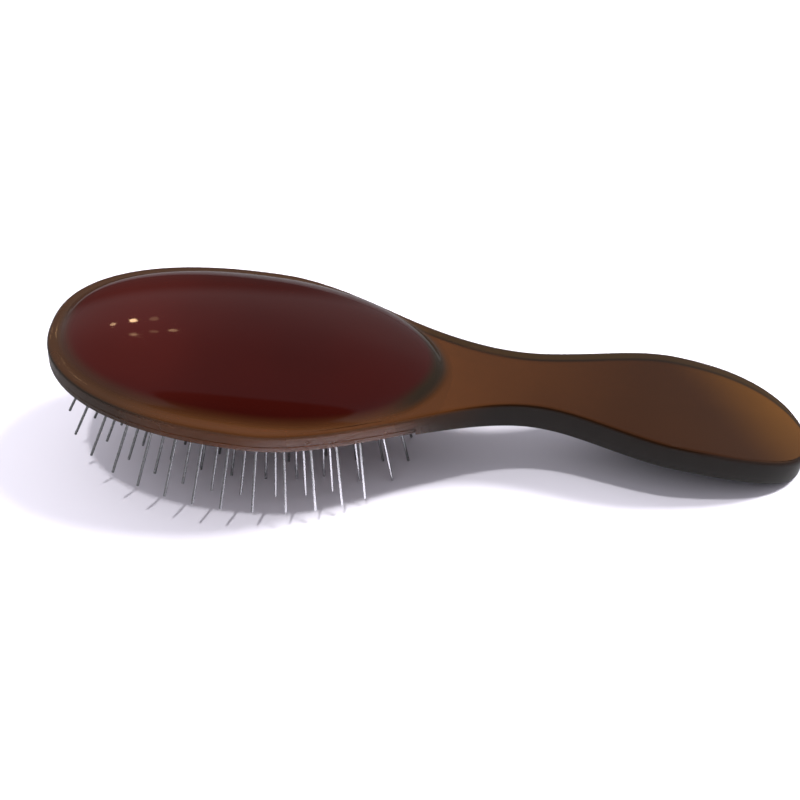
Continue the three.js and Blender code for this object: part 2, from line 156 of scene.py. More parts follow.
def dome_half(x):
    nose = super_quarter(np.clip((HEAD_X - x) / (HEAD_NOSE - LEDGE), 0, 1), HEAD_ROUND)
    tail = np.maximum(1 - np.clip((x - HEAD_X) / (DOME_END_X - HEAD_X), 0, 1) ** 2, 0) ** DOME_TAPER
    return DOME_HALF * np.where(x <= HEAD_X, nose, tail)


def oval(half, start, end, count):
    """Closed loop from the nose, along the near side and back along the far side."""
    x = start + (end - start) * (1 - np.cos(np.pi * np.arange(count + 1) / count)) / 2
    y = half(x)
    y[0] = y[-1] = 0
    near = np.stack([x, -y], 1)
    far = np.stack([x, y], 1)[1:-1][::-1]
    return np.concatenate([near, far])


def inset(loop, by):
    step = np.roll(loop, -1, 0) - np.roll(loop, 1, 0)
    step /= np.linalg.norm(step, axis=1)[:, None]
    return loop + by * np.stack([-step[:, 1], step[:, 0]], 1)


def shrunk(loop, centre_x, share):
    return np.array([centre_x, 0]) + (loop - [centre_x, 0]) * share


def at_height(loop, z):
    return np.column_stack([loop, np.broadcast_to(z, len(loop))])


# ---------- mesh helpers ----------
SHARP_ANGLE = math.radians(35)


def smoothed(mesh):
    mesh.shade_smooth()
    mesh.set_sharp_from_angle(angle=SHARP_ANGLE)


def ring_faces(rings, count, closed=False):
    """Quads between successive loops of the same length."""
    faces = []
    for k in range(rings if closed else rings - 1):
        a, b = k * count, (k + 1) % rings * count
        for i in range(count):
            j = (i + 1) % count
            faces.append((a + i, a + j, b + j, b + i))
    return faces


def ladder_faces(first, count, flip):
    """Cap that ties each point of one side to its mirror image."""
    faces = []
    for i in range(count // 2):
        near, near_next = first + i, first + i + 1
        far, far_next = first + (count - i) % count, first + count - i - 1
        face = tuple(dict.fromkeys((near, near_next, far_next, far)))
        faces.append(face[::-1] if flip else face)
    return faces


def plain_object(name, points, faces, finish):
    mesh = bpy.data.meshes.new(name)
    mesh.from_pydata(to_row(points).tolist(), [], faces)
    mesh.validate()
    mesh.materials.append(finish)
    smoothed(mesh)
    piece = bpy.data.objects.new(name, mesh)
    bpy.context.collection.objects.link(piece)
    return piece


def solid(name, loops, finish):
    """Loops of the same length, skinned and capped at both ends."""
    count = len(loops[0])
    faces = ring_faces(len(loops), count)
    faces += ladder_faces(0, count, True)
    faces += ladder_faces((len(loops) - 1) * count, count, False)
    return plain_object(name, np.concatenate(loops), faces, finish)


# ---------- finishes ----------
class Value:
    """A number that runs through a finish's tree."""

    def __init__(self, finish, socket):
        self.finish, self.socket = finish, socket

    def maths(self, operation, first, second):
        return self.finish.node("ShaderNodeMath", {"operation": operation}, {0: first, 1: second})[0]

    def __add__(self, other):
        return self.maths("ADD", self, other)

    __radd__ = __add__

    def __sub__(self, other):
        return self.maths("SUBTRACT", self, other)

    def __rsub__(self, other):
        return self.maths("SUBTRACT", other, self)

    def __mul__(self, other):
        return self.maths("MULTIPLY", self, other)

    __rmul__ = __mul__

    def __pow__(self, other):
        return self.maths("POWER", self, other)


class Outputs:
    """The outputs of one node, by name or number."""

    def __init__(self, finish, node):
        self.finish, self.made = finish, node

    def __getitem__(self, key):
        return Value(self.finish, self.made.outputs[key])


class Finish:
    """A material, or the studio's sky, and the nodes that make it."""

    def __init__(self, name, kind="materials"):
        self.material = getattr(bpy.data, kind).new(name)
        self.material.use_nodes = True
        self.tree = self.material.node_tree
        self.tree.nodes.clear()

    def node(self, kind, settings=None, sockets=None):
        made = self.tree.nodes.new(kind)
        for key, setting in (settings or {}).items():
            setattr(made, key, setting)
        for key, given in (sockets or {}).items():
            if isinstance(given, Value):
                self.tree.links.new(given.socket, made.inputs[key])
            else:
                made.inputs[key].default_value = given
        return Outputs(self, made)

    def place(self, scale=(1, 1, 1), turn=(0, 0, 0)):
        """Object coordinates, turned and scaled."""
        coordinates = self.node("ShaderNodeTexCoord")["Object"]
        return self.node(
            "ShaderNodeMapping", {}, {"Vector": coordinates, "Rotation": turn, "Scale": scale}
        )["Vector"]

    def along_brush(self):
        """How far each point lies along, across and up the brush, in metres."""
        coordinates = self.node("ShaderNodeTexCoord")["Object"]
        parts = []
        for axis in (ALONG, ACROSS, UP):
            lies = self.node(
                "ShaderNodeVectorMath", {"operation": "DOT_PRODUCT"}, {0: coordinates, 1: tuple(axis)}
            )["Value"]
            parts.append(lies - float(ORIGIN.dot(axis)))
        return parts

    def stored(self, label):
        """A number kept on each point of the mesh."""
        return self.node("ShaderNodeAttribute", {"attribute_name": label})["Fac"]

    def noise(self, place, scale, detail=2):
        """Soft random mottling between 0 and 1."""
        return self.node(
            "ShaderNodeTexNoise",
            {"noise_dimensions": "3D"},
            {"Vector": place, "Scale": scale, "Detail": detail},
        )["Fac"]

    def between(self, value, low, high, to_low=0.0, to_high=1.0):
        """Eased change from to_low to to_high while the value goes from low to high."""
        return self.node(
            "ShaderNodeMapRange",
            {"interpolation_type": "SMOOTHSTEP"},
            {"Value": value, "From Min": low, "From Max": high, "To Min": to_low, "To Max": to_high},
        )["Result"]

    def colours(self, share, first, second):
        """The first colour where share is 0, the second where it is 1."""
        first, second = ((*c, 1) if isinstance(c, tuple) else c for c in (first, second))
        mix_share, mix_first, mix_second, mix_result = 0, 6, 7, 2
        return self.node(
            "ShaderNodeMix",
            {"data_type": "RGBA"},
            {mix_share: share, mix_first: first, mix_second: second},
        )[mix_result]

    def bump(self, height, distance, strength):
        return self.node(
            "ShaderNodeBump", {}, {"Height": height, "Distance": distance, "Strength": strength}
        )["Normal"]

    def surface(self, sockets, volume=None):
        shader = self.node("ShaderNodeBsdfPrincipled", {}, sockets)["BSDF"]
        ends = {"Surface": shader}
        if volume is not None:
            ends["Volume"] = volume
        self.node("ShaderNodeOutputMaterial", {}, ends)
        return self.material


# Colours laid over the plastic, part by part. Several are painted light and shade: a glow at the tip and
# on the head's walls, shade on the handle's walls, toward the nose, along the far side and at the dome's
# end, and a reflection of the far wall along the handle's far edge.
NECK_BROWN, GRIP_BROWN, TIP_GLOW_AMBER = (0.134, 0.045, 0.012), (0.066, 0.021, 0.005), (0.215, 0.078, 0.006)
FAR_WALL_REFLECTION_OLIVE, FAR_WALL_REFLECTION_LINE = (0.058, 0.034, 0.012), (0.018, 0.010, 0.005)
LEDGE_BROWN, NOSE_SHADE_OLIVE, NOSE_RIM_SHADE = (0.165, 0.060, 0.021), (0.105, 0.046, 0.021), (0.030, 0.019, 0.009)
SIDE_GLOW_AMBER, SIDE_SHADE_OLIVE, WALL_SHADE = (0.46, 0.155, 0.058), (0.130, 0.060, 0.028), (0.030, 0.012, 0.005)
NOSE_RED, DOME_RED, DOME_END_SHADE = (0.110, 0.013, 0.009), (0.066, 0.0065, 0.0042), (0.030, 0.016, 0.005)
CLOUD_DARK = (0.012, 0.005, 0.004)
# Rubber, cloth and steel, each from its darker to its lighter colour; the two steels are painted shade and
# painted highlight.
RUBBER_REDS = (0.16, 0.018, 0.012), (0.21, 0.03, 0.02)
CLOTH_MAROONS = (0.05, 0.012, 0.010), (0.11, 0.03, 0.025)
SHADED_STEEL = (0.30, 0.30, 0.31), (0.46, 0.46, 0.48)
LIT_STEEL = (0.72, 0.72, 0.74), (0.90, 0.90, 0.92)
# Floor as the camera sees it, as everything else sees it, and the bright patch that gloss picks up.
FLOOR_WHITES, FLOOR_SHADE = ((0.55, 0.53, 0.585), (0.57, 0.55, 0.605)), (0.13, 0.13, 0.133)
PATCH_ALONG, PATCH_ACROSS, PATCH_INNER, PATCH_OUTER, PATCH_STRENGTH = 0.088, -0.045, 0.024, 0.046, 0.8
# How much light the plastic lets through, how it bends it, and what it takes out of it.
CLEARNESS, PLASTIC_IOR = 0.75, 1.49
ABSORBED, ABSORB_DENSITY = (0.55, 0.42, 0.30, 1), 120


def handle_colour(finish, along, across):
    """Brown that deepens toward the grip, amber painted at the tip as light glowing through the thin end,
    and an olive band and line along the far edge as a painted reflection of the far wall.
    """
    far_edge = finish.stored("far_edge")
    colour = finish.colours(finish.between(along, 0.112, 0.165), NECK_BROWN, GRIP_BROWN)
    # Painted glow: lighter amber toward the tip and its far side, where light shines through the thin end.
    tip = finish.between(along + 0.8 * across, 0.184, 0.220)
    colour = finish.colours(tip, colour, TIP_GLOW_AMBER)
    # Painted reflection of the far wall: an olive band with a dark line just inside the handle's far edge.
    band = finish.between(far_edge, 0.0032, 0.0038, 0.85, 0.0)
    colour = finish.colours(band, colour, FAR_WALL_REFLECTION_OLIVE)
    line = finish.between(far_edge, 0.0028, 0.0034) * finish.between(far_edge, 0.0036, 0.0044, 0.8, 0.0)
    return finish.colours(line, colour, FAR_WALL_REFLECTION_LINE)


def head_side(finish, along, up):
    """1 on the side walls of the head, 0 elsewhere."""
    below_rim = finish.between(up, -0.0014, -0.0006, 1.0, 0.0)
    return below_rim * finish.between(along, 0.095, 0.112, 1.0, 0.0)


def brown_colour(finish, along, across, side):
    """Everything but the dome: ledge, rim and walls of the head, and the handle; painted shade toward the
    nose, along the far side and on the handle's walls, and a painted amber glow on the head's walls.
    """
    below_top = finish.stored("below_top")
    handle = handle_colour(finish, along, across)
    colour = finish.colours(finish.between(along, 0.085, 0.112), LEDGE_BROWN, handle)
    # Painted shade: darker olive toward the nose and along the far side, with a dark line on the rim's top
    # edge there.
    nose = finish.between(along, 0.012, 0.050, 1.0, 0.0) + finish.between(across, 0.012, 0.026)
    nose = finish.between(nose, 0.0, 1.0)
    colour = finish.colours(nose, colour, NOSE_SHADE_OLIVE)
    rim = finish.between(below_top, 0.0002, 0.0007) * nose
    colour = finish.colours(rim, colour, NOSE_RIM_SHADE)
    # Head's walls: the lower band's lighter amber, brightened into a painted glow of light through the
    # thin walls, with olive painted shade toward the nose and far side.
    colour = finish.colours(side, colour, finish.colours(nose, SIDE_GLOW_AMBER, SIDE_SHADE_OLIVE))
    # Painted shade: the handle's walls and underside darker than its top.
    wall = finish.between(below_top, 0.0000, 0.0003) * finish.between(along, 0.108, 0.130)
    return finish.colours(wall, colour, WALL_SHADE)


def dome_colour(finish, along, brown):
    """Red dome laid over the brown, with an olive crescent of painted shade at its foot by the neck."""
    ratio = finish.stored("dome_ratio")
    dome = finish.between(ratio, 0.93, 1.02, 1.0, 0.0)
    red = finish.colours(finish.between(along, 0.020, 0.062), NOSE_RED, DOME_RED)
    colour = finish.colours(dome, brown, red)
    # Painted shade: an olive crescent in the crease at the dome's foot by the neck.
    end = finish.between(ratio, 0.90, 0.965) * finish.between(ratio, 0.975, 1.05, 1.0, 0.0)
    end = end * finish.between(along, 0.094, 0.106)
    return finish.colours(end, colour, DOME_END_SHADE)


def clear_plastic(name):
    """Brown see-through plastic, glossy outside and matt inside, with faint moulding marks."""
    finish = Finish(name)
    marks = finish.noise(finish.place(), 60, 3)
    scuffs = finish.noise(finish.place(scale=(120, 900, 500), turn=(0, 0, 0.4)), 1, 2)
    clouds = finish.noise(finish.place(), 28, 2)
    along, across, up = finish.along_brush()
    side = head_side(finish, along, up)
    brown = brown_colour(finish, along, across, side)
    colour = dome_colour(finish, along, brown)
    colour = finish.colours(finish.between(clouds, 0.35, 0.75, 0.0, 0.18), colour, CLOUD_DARK)
    polish = 0.04 + 0.04 * finish.between(marks, 0.4, 0.7) + 0.03 * finish.between(scuffs, 0.62, 0.8)
    absorption = finish.node(
        "ShaderNodeVolumeAbsorption", {}, {"Color": ABSORBED, "Density": ABSORB_DENSITY}
    )["Volume"]
    return finish.surface(
        {
            "Base Color": colour,
            "Roughness": polish + 0.5 * finish.stored("inside") + 0.2 * side,
            "Transmission Weight": CLEARNESS,
            "IOR": PLASTIC_IOR,
            "Normal": finish.bump(marks, 0.0002, 0.15),
        },
        absorption,
    )


def red_rubber():
    """Matt red rubber with a fine grain."""
    finish = Finish("red_rubber")
    grain = finish.noise(finish.place(), 1800, 3)
    blotch = finish.noise(finish.place(), 90, 3)
    colour = finish.colours(finish.between(blotch, 0.3, 0.7), *RUBBER_REDS)
    return finish.surface(
        {
            "Base Color": colour,
            "Roughness": 0.5 + 0.15 * grain,
            "Normal": finish.bump(grain, 0.00012, 0.5),
        }
    )


def backing_cloth():
    """Plain weave of maroon threads with a little fuzz."""
    finish = Finish("backing_cloth")
    thread_scale = 260.0
    tilt = math.atan2(-UP.x, UP.z)
    place = finish.place(turn=(0, tilt, 0))
    threads = []
    for direction in ("X", "Y"):
        threads.append(
            finish.node(
                "ShaderNodeTexWave",
                {"wave_type": "BANDS", "bands_direction": direction, "wave_profile": "SIN"},
                {"Vector": place, "Scale": thread_scale, "Distortion": 0.6, "Detail": 1.0},
            )["Fac"]
        )
    weave = threads[0] * threads[1]
    fuzz = finish.noise(finish.place(), 900, 3)
    shade = finish.between(weave + 0.3 * fuzz, 0.0, 1.0)
    return finish.surface(
        {
            "Base Color": finish.colours(shade, *CLOTH_MAROONS),
            "Roughness": 0.92,
            "Normal": finish.bump(weave, 0.0003, 0.8),
        }
    )


def bright_wire():
    """Drawn steel, painted dark toward the nose as shade and bright toward the neck as painted highlight.
    """
    finish = Finish("bright_wire")
    drawn = finish.noise(finish.place(scale=(3000, 3000, 60)), 1, 2)
    along, _, _ = finish.along_brush()
    # Painted light: pins toward the nose dark as in shade, pins toward the neck bright as if catching
    # reflections.
    lit_share = finish.between(along, 0.055, 0.085)
    shaded = finish.colours(drawn, *SHADED_STEEL)
    bright = finish.colours(drawn, *LIT_STEEL)
    return finish.surface(
        {
            "Base Color": finish.colours(lit_share, shaded, bright),
            "Metallic": 1.0,
            "Roughness": 0.18 + 0.16 * drawn,
        }
    )


def pale_floor():
    """White to the camera and darker to other rays, with a bright patch that only gloss picks up."""
    finish = Finish("pale_floor")
    mottle = finish.noise(finish.place(), 3, 2)
    path = finish.node("ShaderNodeLightPath")
    along, across, _ = finish.along_brush()
    reach = ((along - PATCH_ALONG) ** 2.0 + (across - PATCH_ACROSS) ** 2.0) ** 0.5
    patch = finish.between(reach, PATCH_INNER, PATCH_OUTER, PATCH_STRENGTH, 0.0)
    bright = path["Is Camera Ray"] + path["Is Glossy Ray"] * patch
    white = finish.colours(mottle, *FLOOR_WHITES)
    return finish.surface(
        {"Base Color": finish.colours(bright, FLOOR_SHADE, white), "Roughness": 0.8}
    )


BODY_PLASTIC = clear_plastic("brown_plastic")
RING_PLASTIC = clear_plastic("ring_plastic")
RUBBER = red_rubber()
CLOTH = backing_cloth()
WIRE = bright_wire()


# ---------- body ----------
def dome_ratio(x, y):
    """0 on the dome's middle and 1 on its foot."""
    x, y = np.asarray(x, float), np.abs(y)
    nose = (np.maximum(HEAD_X - x, 0) / (HEAD_NOSE - LEDGE)) ** HEAD_ROUND
    before = (nose + (y / DOME_HALF) ** HEAD_ROUND) ** (1 / HEAD_ROUND)
    reach = np.maximum(x - HEAD_X, 0) / (DOME_END_X - HEAD_X)
    smallest, largest, halvings = 1e-6, 12.0, 45
    low, high = np.full(x.shape, smallest), np.full(x.shape, largest)
    for _ in range(halvings):
        middle = (low + high) / 2
        over = (y / DOME_HALF / middle) ** (1 / DOME_TAPER) + (reach / middle) ** 2 > 1
        low, high = np.where(over, middle, low), np.where(over, high, middle)
    return np.where(x <= HEAD_X, before, low)


def dome_profile(ratio):
    return np.maximum(1 - np.clip(ratio, 0, None) ** DOME_FULL, 0) ** DOME_SHOULDER


def dome_rise(x, y):
    """Height of the dome over the ledge, with a soft foot of the same width all round."""
    nudge = 1e-5
    ratio = dome_ratio(x, y)
    slope_x = (dome_ratio(x + nudge, y) - dome_ratio(x - nudge, y)) / (2 * nudge)
    slope_y = (dome_ratio(x, y + nudge) - dome_ratio(x, y - nudge)) / (2 * nudge)
    per_metre = np.hypot(slope_x, slope_y)
    rise, total = 0, 0
    for shift in np.linspace(-1, 1, 15)[1:-1]:
        weight = 1 + math.cos(math.pi * shift)
        rise = rise + weight * dome_profile(np.abs(ratio + shift * FOOT_SOFT * per_metre))
        total += weight
    return DOME_HEIGHT * rise / total


def body_outside():
    """Closed skin of handle, ledge and dome, before the hollow is taken out."""
    stations, columns, edge_steps = 380, 80, 6
    outline = oval(half_width, 0, LENGTH, stations)
    x = outline[:, 0]
    floor_z = top_height(x) - thickness(x)
    loops = []
    for angle in np.linspace(0, math.pi / 2, edge_steps):
        loop = inset(outline, BOTTOM_EDGE * (1 - math.sin(angle)))
        loops.append(at_height(loop, floor_z + BOTTOM_EDGE * (1 - math.cos(angle))))
    for angle in np.linspace(0, math.pi / 2, edge_steps):
        loop = inset(outline, TOP_EDGE * (1 - math.cos(angle)))
        loops.append(at_height(loop, top_height(x) - TOP_EDGE * (1 - math.sin(angle))))
    count = len(outline)
    faces = ring_faces(len(loops), count) + ladder_faces(0, count, True)
    first = (len(loops) - 1) * count
    rim = loops[-1]
    spread = np.sin(np.pi / 2 * np.linspace(-1, 1, columns + 1))[1:-1]
    near, far = rim[1:stations], rim[:stations:-1]
    share = ((spread + 1) / 2)[None, :]
    across_x = near[:, :1] * (1 - share) + far[:, :1] * share
    across_y = near[:, 1:2] * (1 - share) + far[:, 1:2] * share
    height = top_height(near[:, :1] * np.ones_like(share)) + dome_rise(across_x, across_y)
    inner = np.stack([across_x, across_y, height], 2).reshape(-1, 3)
    start = first + count
    rows = []
    for i in range(stations - 1):
        row = [first + i + 1]
        row += list(range(start + i * (columns - 1), start + (i + 1) * (columns - 1)))
        row.append(first + count - i - 1)
        rows.append(row)
    for a, b in zip(rows, rows[1:]):
        faces += [(a[j], b[j], b[j + 1], a[j + 1]) for j in range(columns)]
    nose, tail = first, first + stations
    faces += [(nose, rows[0][j], rows[0][j + 1]) for j in range(columns)]
    faces += [(tail, rows[-1][j + 1], rows[-1][j]) for j in range(columns)]
    return plain_object("brush_body_plastic", np.concatenate(loops + [inner]), faces, BODY_PLASTIC)


def body_hollow():
    """What is taken out below: seat of the ring, pocket over the cushion, vault in the dome."""
    count, rings = 120, 14
    seat = inset(oval(ring_half, 0, RING_END_X, count), -FIT_GAP)
    pocket = inset(oval(ring_half, 0, RING_END_X, count), CAVITY_INSET)
    vault = inset(oval(dome_half, LEDGE, DOME_END_X, count), SHELL_WALL)
    seat_z = RING_TOP + FIT_GAP
    loops = [at_height(seat, RING_BOTTOM * 2), at_height(seat, seat_z)]
    loops += [at_height(pocket, seat_z), at_height(pocket, -LEDGE_THICK)]
    loops.append(at_height(vault, -LEDGE_THICK))
    rise = DOME_HEIGHT - SHELL_WALL + LEDGE_THICK
    for k in range(1, rings):
        ratio = math.cos(math.pi / 2 * k / rings)
        z = -LEDGE_THICK + rise * float(dome_profile(ratio))
        loops.append(at_height(shrunk(vault, HEAD_X, ratio), z))
    return solid("body_hollow", loops, BODY_PLASTIC)


def mark(mesh, label, values):
    """Stores one number for each point, for the finish to read."""
    made = mesh.attributes.new(label, "FLOAT", "POINT")
    made.data.foreach_set("value", np.asarray(values, np.float32))


# dome_ratio of what is not on the dome, and how deep and how far in the hollow's skin starts.
OFF_DOME = 1.5
CRUST, CAVITY_RATIO = 0.001, 0.97


def hollowed(skin, hollow):
    """Takes the hollow out, and marks each point with where it is for the finish."""
    cut = skin.modifiers.new("hollow", "BOOLEAN")
    cut.operation, cut.solver, cut.object = "DIFFERENCE", "EXACT", hollow
    bpy.context.view_layer.update()
    whole = skin.evaluated_get(bpy.context.evaluated_depsgraph_get())
    mesh = bpy.data.meshes.new_from_object(whole)
    skin.modifiers.clear()
    skin.data = mesh
    bpy.data.objects.remove(hollow)
    smoothed(mesh)
    own = (np.array([v.co for v in mesh.vertices]) - np.array(ORIGIN)) @ AXES.T
    x, y, z = own.T
    top, ratio = top_height(x), dome_ratio(x, y)
    under_crust = z < top + dome_rise(x, y) - CRUST
    mark(mesh, "inside", (ratio < CAVITY_RATIO) & under_crust & (z > RING_TOP))
    mark(mesh, "dome_ratio", np.clip(ratio, 0.01, OFF_DOME))
    mark(mesh, "below_top", top - z)
    mark(mesh, "far_edge", half_width(x) - y)
    return skin


def ring_piece():
    """Ring under the head: its section carried round the oval."""
    outer = oval(ring_half, 0, RING_END_X, 180)
    loops = [at_height(outer, RING_TOP)]
    for angle in np.linspace(math.pi / 2, 0, 6):
        loop = inset(outer, BOTTOM_EDGE * (1 - math.sin(angle)))
        loops.append(at_height(loop, RING_BOTTOM + BOTTOM_EDGE * (1 - math.cos(angle))))
    lip_edge, halfway = 0.0004, 0.3
    loops.append(at_height(inset(outer, LIP_INSET - lip_edge), RING_BOTTOM))
    loops.append(at_height(inset(outer, LIP_INSET - lip_edge * halfway), RING_BOTTOM + lip_edge * halfway))
    loops.append(at_height(inset(outer, LIP_INSET), RING_BOTTOM + lip_edge))
    loops.append(at_height(inset(outer, LIP_INSET), LIP_TOP))
    loops.append(at_height(inset(outer, RABBET_INSET), LIP_TOP))
    loops.append(at_height(inset(outer, RABBET_INSET), RING_TOP))
    faces = [f[::-1] for f in ring_faces(len(loops), len(outer), closed=True)]
    piece = plain_object("cushion_ring_plastic", np.concatenate(loops), faces, RING_PLASTIC)
    mark(piece.data, "dome_ratio", np.full(len(piece.data.vertices), OFF_DOME))
    return piece


# ---------- cushion ----------
RING_OVAL = oval(ring_half, 0, RING_END_X, 192)
PAD_OVAL = inset(RING_OVAL, LIP_INSET + FIT_GAP)
CLOTH_OVAL = inset(PAD_OVAL, CLOTH_MARGIN)


def pad_ratio(x, y):
    """0 in the middle of the cushion and 1 on its edge."""
    angle = np.arctan2(y, x - OVAL_CENTRE_X)
    edge_angle = np.arctan2(PAD_OVAL[:, 1], PAD_OVAL[:, 0] - OVAL_CENTRE_X)
    reach = np.hypot(PAD_OVAL[:, 0] - OVAL_CENTRE_X, PAD_OVAL[:, 1])
    order = np.argsort(edge_angle)
    found = np.interp(angle, edge_angle[order], reach[order], period=2 * math.pi)
    return np.hypot(x - OVAL_CENTRE_X, y) / found


def pad_depth(ratio):
    return RING_BOTTOM - CUSHION_RISE * (1 - ratio * ratio)


def pad_level(x, y):
    """Height of the rubber's outer skin at a place."""
    return pad_depth(pad_ratio(x, y))


def even_ellipse(half_x, half_y, count, phase):
    """Places evenly spaced along an ellipse about the middle of the pins."""
    turn = np.linspace(0, 2 * math.pi, 721)
    x, y = PIN_FIELD_X - half_x * np.cos(turn), -half_y * np.sin(turn)
    sums = np.concatenate([[0], np.cumsum(np.hypot(np.diff(x), np.diff(y)))])
    goals = sums[-1] * (np.arange(count) + phase) / count
    return np.column_stack([np.interp(goals, sums, x), np.interp(goals, sums, y)])


def pin_rings():
    """For each ring, each pin's root on the rubber and the way it points."""
    half_x = PAD_OVAL[:, 0].max() - OVAL_CENTRE_X
    half_y = PAD_OVAL[:, 1].max()
    step = 0.0005
    rings = []
    for ring, staples in enumerate(RING_STAPLES):
        ring_x = half_x - PIN_END_INSET - ring * PIN_RING_PITCH
        ring_y = half_y - PIN_SIDE_INSET - ring * PIN_RING_PITCH
        x, y = even_ellipse(ring_x, ring_y, staples * 2, 0.5).T
        slope_x = (pad_level(x + step, y) - pad_level(x - step, y)) / (2 * step)
        slope_y = (pad_level(x, y + step) - pad_level(x, y - step)) / (2 * step)
        way = np.column_stack([slope_x * PIN_FAN + math.tan(PIN_LEAN), slope_y, -np.ones(len(x))])
        way /= np.linalg.norm(way, axis=1)[:, None]
        rings.append((np.column_stack([x, y, pad_level(x, y)]), way))
    return rings


PINS = pin_rings()
ROOTS = np.concatenate([roots for roots, _ in PINS])
# Collar of rubber at each pin, and the dimple round it.
COLLAR_HEIGHT, COLLAR_RADIUS = 0.00022, 0.0006
DIMPLE_DEPTH, DIMPLE_RADIUS, DIMPLE_WIDTH = 0.00028, 0.0011, 0.0005


def rubber_pad():
    """Bulging rubber with a small collar where each pin comes out."""
    rings, around = 60, len(PAD_OVAL)
    shares = np.linspace(0, 1, rings + 1)[1:]
    loops = []
    for share in shares:
        loop = shrunk(PAD_OVAL, OVAL_CENTRE_X, share)
        z = np.full(around, pad_depth(share))
        gap = np.linalg.norm(loop[:, None, :] - ROOTS[None, :, :2], axis=2).min(axis=1)
        collar = COLLAR_HEIGHT * np.exp(-((gap / COLLAR_RADIUS) ** 2))
        dimple = DIMPLE_DEPTH * np.exp(-(((gap - DIMPLE_RADIUS) / DIMPLE_WIDTH) ** 2))
        z += collar - dimple
        loops.append(at_height(loop, z))
    flange = inset(RING_OVAL, RABBET_INSET + FIT_GAP)
    flange_bottom = RING_TOP - FLANGE_THICK
    loops.append(at_height(PAD_OVAL, flange_bottom))
    loops.append(at_height(flange, flange_bottom))
    loops.append(at_height(flange, RING_TOP))
    loops.append(at_height(PAD_OVAL, RING_TOP))
    for share in shares[-2::-6]:
        z = min(pad_depth(share) + PAD_THICK, RING_TOP)
        loops.append(at_height(shrunk(PAD_OVAL, OVAL_CENTRE_X, share), z))
    return solid("cushion_rubber", loops, RUBBER)


def cloth_piece():
    """Backing cloth that follows the rubber's bulge, its underside first."""
    rings = 24
    loops = []
    for up, shares in ((0, np.arange(1, rings + 1)), (CLOTH_THICK, np.arange(rings, 0, -1))):
        for k in shares:
            loop = shrunk(CLOTH_OVAL, OVAL_CENTRE_X, k / rings)
            level = pad_level(*loop.T) + PAD_THICK + CLOTH_GAP
            loops.append(at_height(loop, level + up))
    return solid("cushion_cloth_weave", loops, CLOTH)


# ---------- wire pins ----------
def tree_socket(tree, name, kind, value):
    made = tree.interface.new_socket(name, in_out="INPUT", socket_type=kind)
    made.default_value = value
    return made.identifier


def wire_tree():
    """Bends a path into round wire with eased ends."""
    tree = bpy.data.node_groups.new("bent_wire", "GeometryNodeTree")
    tree.interface.new_socket("Geometry", in_out="INPUT", socket_type="NodeSocketGeometry")
    inputs = {
        "Wire radius": tree_socket(tree, "Wire radius", "NodeSocketFloat", PIN_RADIUS),
        "Bend radius": tree_socket(tree, "Bend radius", "NodeSocketFloat", CROWN_BEND),
        "Bend steps": tree_socket(tree, "Bend steps", "NodeSocketInt", 5),
        "Sides": tree_socket(tree, "Sides", "NodeSocketInt", 12),
    }
    tree.interface.new_socket("Geometry", in_out="OUTPUT", socket_type="NodeSocketGeometry")

    def add(kind, settings, sockets):
        made = tree.nodes.new(kind)
        for key, setting in settings.items():
            setattr(made, key, setting)
        for key, given in sockets.items():
            if isinstance(given, bpy.types.NodeSocket):
                tree.links.new(given, made.inputs[key])
            else:
                made.inputs[key].default_value = given
        return made.outputs

    given = add("NodeGroupInput", {}, {})
    path = add("GeometryNodeMeshToCurve", {}, {"Mesh": given["Geometry"]})["Curve"]
    bent = add("GeometryNodeFilletCurve", {"mode": "POLY"}, {
        "Curve": path, "Radius": given["Bend radius"], "Count": given["Bend steps"]})["Curve"]
    ease = add("GeometryNodeInputNamedAttribute", {"data_type": "FLOAT"}, {"Name": "ease"})["Attribute"]
    thick = add("GeometryNodeSetCurveRadius", {}, {"Curve": bent, "Radius": ease})["Curve"]
    section = add("GeometryNodeCurvePrimitiveCircle", {"mode": "RADIUS"}, {
        "Resolution": given["Sides"], "Radius": given["Wire radius"]})["Curve"]
    wire = add("GeometryNodeCurveToMesh", {}, {
        "Curve": thick, "Profile Curve": section, "Fill Caps": True})["Mesh"]
    smooth = add("GeometryNodeSetShadeSmooth", {}, {"Geometry": wire})["Geometry"]
    merged = add("GeometryNodeMergeByDistance", {}, {"Geometry": smooth, "Distance": 1e-6})["Geometry"]
    real = add("GeometryNodeRealizeInstances", {}, {"Geometry": merged})["Geometry"]
    finished = add("GeometryNodeSetMaterial", {}, {"Geometry": real, "Material": WIRE})["Geometry"]
    add("NodeGroupOutput", {}, {"Geometry": finished})
    return tree, inputs


# Distance from a pin's tip, and the share of its full thickness there.
TIP_EASE = ((0.0, 0.35), (0.00012, 0.72), (0.0003, 0.93), (0.0006, 1.0))


def staple_path(left, right):
    """Tip, leg, crown, leg, tip; with how thick the wire is at each point."""
    ends = []
    for root, way in (left, right):
        corner = root - way * (CROWN_DEPTH / abs(way[2]))
        tip = root + way * (PIN_LENGTH - CROWN_DEPTH)
        ends.append((corner, tip, way))
    (a, tip_a, way_a), (b, tip_b, way_b) = ends
    points = [tip_a - way_a * back for back, _ in TIP_EASE] + [a, b]
    points += [tip_b - way_b * back for back, _ in reversed(TIP_EASE)]
    widths = [w for _, w in TIP_EASE] + [1.0, 1.0] + [w for _, w in reversed(TIP_EASE)]
    return np.array(points), widths


